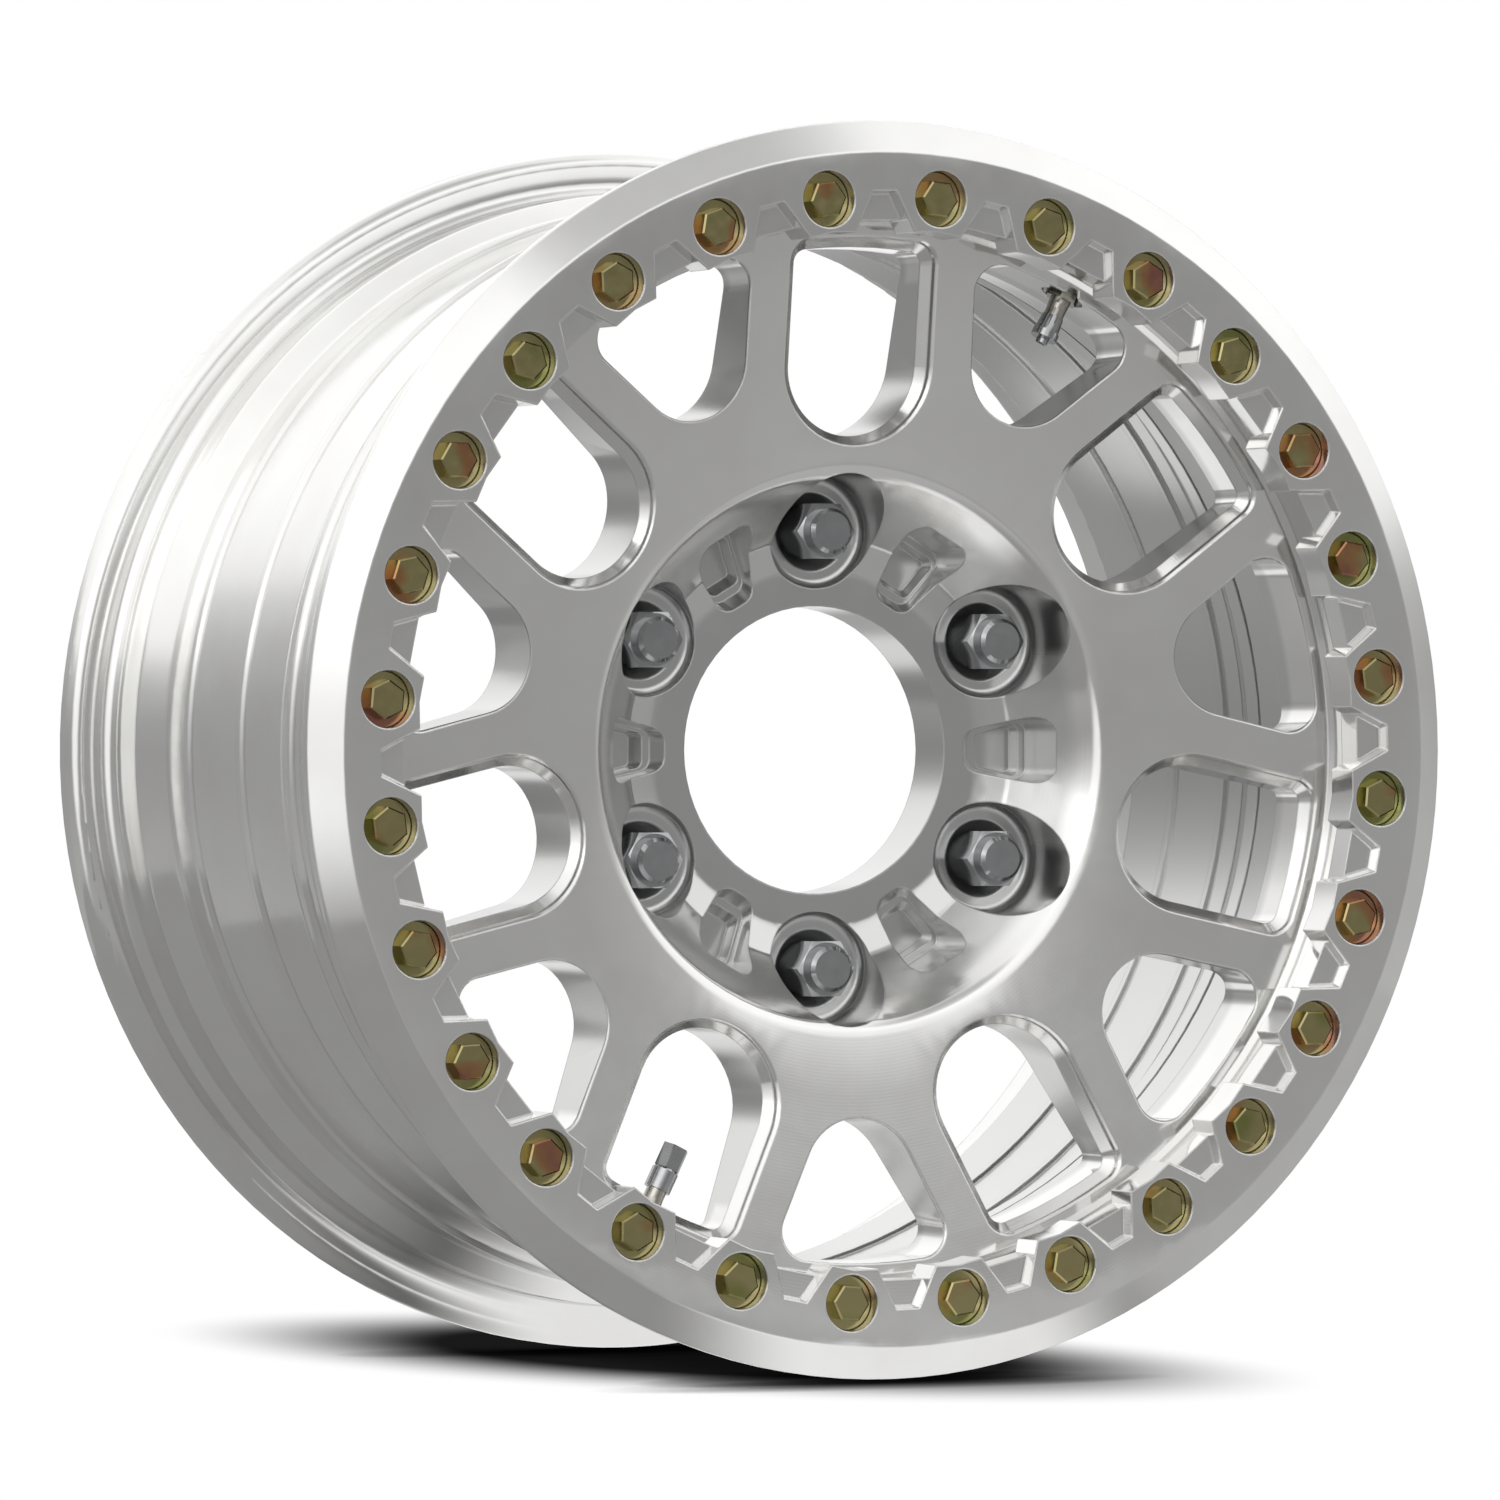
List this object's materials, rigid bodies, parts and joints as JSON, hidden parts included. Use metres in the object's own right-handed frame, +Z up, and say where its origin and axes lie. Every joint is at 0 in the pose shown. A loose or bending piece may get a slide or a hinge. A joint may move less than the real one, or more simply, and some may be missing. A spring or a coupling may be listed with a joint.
{
  "type": "beadlock wheel",
  "caption": "Forged off-road wheel with round-ended and three-cornered windows, a bolted beadlock ring with scalloped tabs, lug nuts in deep counterbores and two clamp-in valves.",
  "frame": {"origin": "centre of the hub's mounting pad, on the wheel's axis", "axes": "+Y runs along the wheel's axis towards the car, so the outer face looks along -Y; +Z is up and +X is to the right seen from the outside"},
  "size_m": [0.4711, 0.252, 0.4712],
  "materials": {
    "forged_aluminium": "polished forged aluminium",
    "machined_aluminium": "machined and polished aluminium",
    "yellow_zinc_steel": "yellow zinc plated steel",
    "yellow_zinc_washer": "yellow zinc plated steel",
    "chrome_nut": "bright chrome plate",
    "valve_nickel": "nickel plated brass",
    "valve_rubber": "black sealing rubber",
    "valve_steel": "nickel plated steel",
    "valve_brass": "plain brass",
    "spring_steel": "spring wire",
    "valve_chrome": "bright chrome plate"
  },
  "bodies": {
    "wheel": {"wheel_body": "forged_aluminium", "beadlock_ring": "machined_aluminium", "ring_bolts": "yellow_zinc_steel", "ring_washers": "yellow_zinc_washer", "lug_nuts": "chrome_nut", "upper_valve_stem": "valve_nickel", "upper_valve_seal": "valve_rubber", "upper_valve_washer": "valve_steel", "upper_valve_nut": "valve_steel", "upper_valve_core_body": "valve_brass", "upper_valve_core_spring": "spring_steel", "lower_valve_stem": "valve_nickel", "lower_valve_seal": "valve_rubber", "lower_valve_washer": "valve_steel", "lower_valve_nut": "valve_steel", "lower_valve_core_body": "valve_brass", "lower_valve_core_spring": "spring_steel"},
    "upper_cap": {"upper_valve_cap": "valve_chrome", "upper_valve_cap_gasket": "valve_rubber"},
    "upper_pin": {"upper_valve_core_pin": "valve_brass"},
    "lower_cap": {"lower_valve_cap": "valve_chrome", "lower_valve_cap_gasket": "valve_rubber"},
    "lower_pin": {"lower_valve_core_pin": "valve_brass"}
  },
  "joints": [
    {"name": "upper_cap_off", "type": "slide", "parent": "wheel", "child": "upper_cap", "axis": [-0.4501, 0, -0.893], "range_m": [0, 0.014]},
    {"name": "upper_pin_press", "type": "slide", "parent": "wheel", "child": "upper_pin", "axis": [0.4501, 0, 0.893], "range_m": [0, 0.001], "stiffness_N_per_m": 400, "springref_m": -0.0005, "deforming": ["upper_valve_core_spring"]},
    {"name": "lower_cap_off", "type": "slide", "parent": "wheel", "child": "lower_cap", "axis": [0.4501, 0, 0.893], "range_m": [0, 0.022]},
    {"name": "lower_pin_press", "type": "slide", "parent": "wheel", "child": "lower_pin", "axis": [-0.4501, 0, -0.893], "range_m": [0, 0.001], "stiffness_N_per_m": 400, "springref_m": -0.0005, "deforming": ["lower_valve_core_spring"]}
  ]
}
